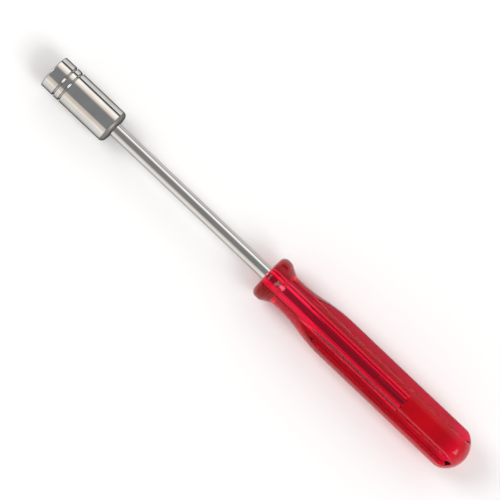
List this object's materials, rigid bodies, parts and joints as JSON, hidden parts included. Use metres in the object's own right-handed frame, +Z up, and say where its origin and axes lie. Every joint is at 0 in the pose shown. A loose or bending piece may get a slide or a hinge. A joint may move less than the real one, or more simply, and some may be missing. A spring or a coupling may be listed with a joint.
{
  "type": "nut driver",
  "caption": "Slim hand nut driver: hex socket with ring grooves on a plain round steel shaft, fixed in a clear red fluted handle with a round collar and domed butt.",
  "frame": {"origin": "middle of the socket's mouth, on the tool's axis", "axes": "the tool lies along X with its mouth facing -X and its handle towards +X; +Z is up and passes through the middle of a land between two flutes; +Y completes the frame"},
  "size_m": [0.1934, 0.017, 0.017],
  "materials": {
    "socket_steel": "bright nickel plate over fine turning marks",
    "shaft_steel": "bright nickel plate, drawn along its length",
    "clear_red": "polished transparent red moulded plastic"
  },
  "bodies": {
    "root": {"socket": "socket_steel", "shaft": "shaft_steel", "handle": "clear_red"}
  },
  "joints": []
}
